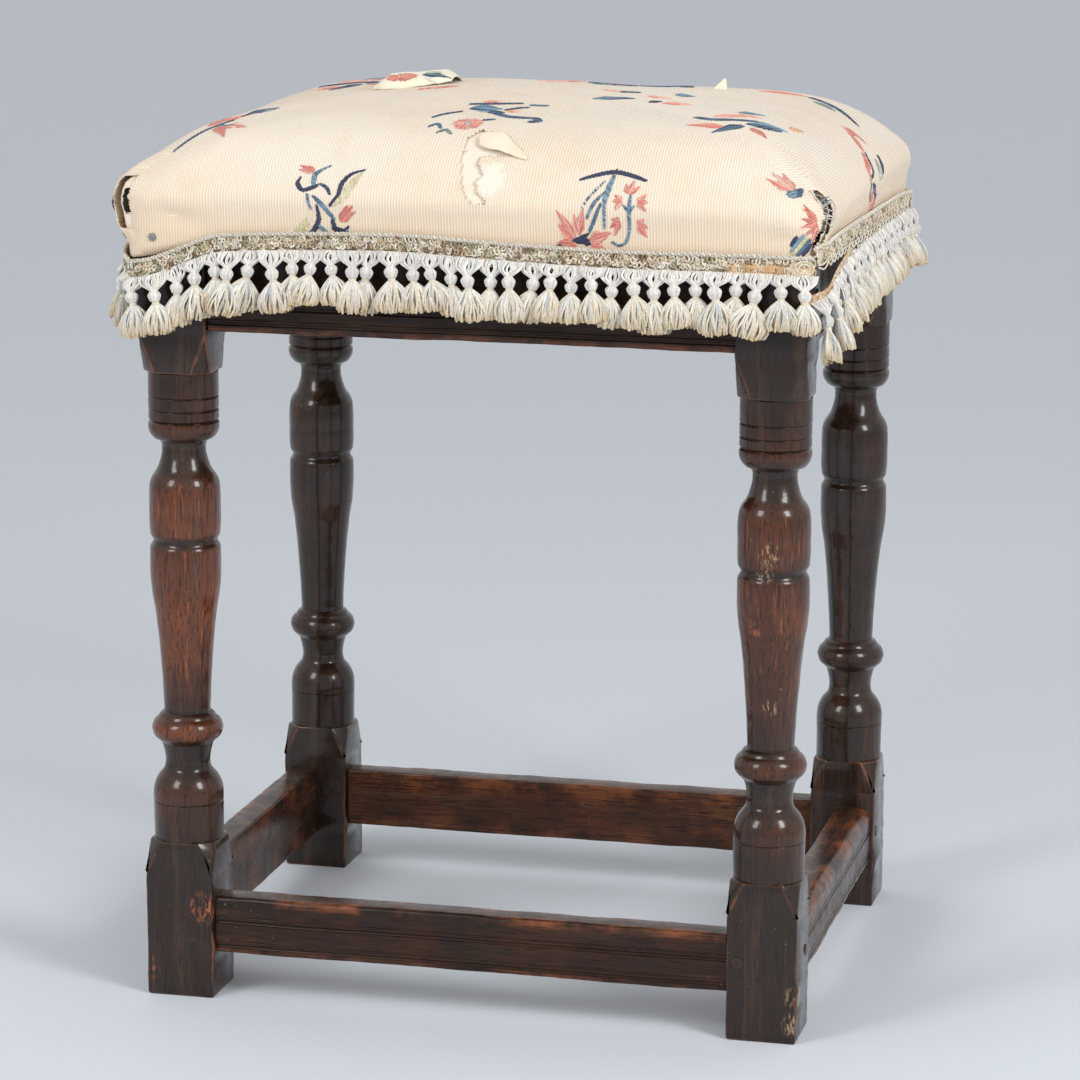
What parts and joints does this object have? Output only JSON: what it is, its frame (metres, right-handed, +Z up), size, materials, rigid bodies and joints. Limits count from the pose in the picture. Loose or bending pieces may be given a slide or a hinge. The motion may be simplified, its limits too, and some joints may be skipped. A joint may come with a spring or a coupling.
{
  "type": "joint stool",
  "caption": "Turned and joined oak stool with pegged mortise-and-tenon frame, low stretchers and a padded seat in a fitted embroidered cover with braid and a tassel fringe, for sitting",
  "frame": {"origin": "On the floor, midway between the four feet.", "axes": "+Z is up, the front of the stool faces -Y, and its right-hand side, seen from the front, faces +X."},
  "size_m": [0.5024, 0.4214, 0.636],
  "materials": {
    "oak": "waxed and polished, near black with worn brown arrises",
    "peg_oak": "waxed end grain",
    "stuffing": "curled hair",
    "undercover": "plain woven cotton",
    "cover": "fine ribbed cloth with scattered embroidery, stained and worn",
    "iron": "forged, dull",
    "braid": "woven braid with a twisted edge",
    "fringe": "netted cord and silky tassels"
  },
  "bodies": {
    "root": {"front_left_leg": "oak", "front_right_leg": "oak", "back_left_leg": "oak", "back_right_leg": "oak", "front_rail": "oak", "right_rail": "oak", "back_rail": "oak", "left_rail": "oak", "front_stretcher": "oak", "right_stretcher": "oak", "back_stretcher": "oak", "left_stretcher": "oak", "rail_pegs": "peg_oak", "stretcher_pegs": "peg_oak", "board_pegs": "peg_oak", "seat_board": "oak", "seat_stuffing": "stuffing", "white_undercover": "undercover", "embroidered_cover": "cover", "cover_tacks": "iron", "front_braid": "braid", "right_braid": "braid", "back_braid": "braid", "left_braid": "braid", "front_fringe": "fringe", "right_fringe": "fringe", "back_fringe": "fringe", "left_fringe": "fringe"}
  },
  "joints": []
}
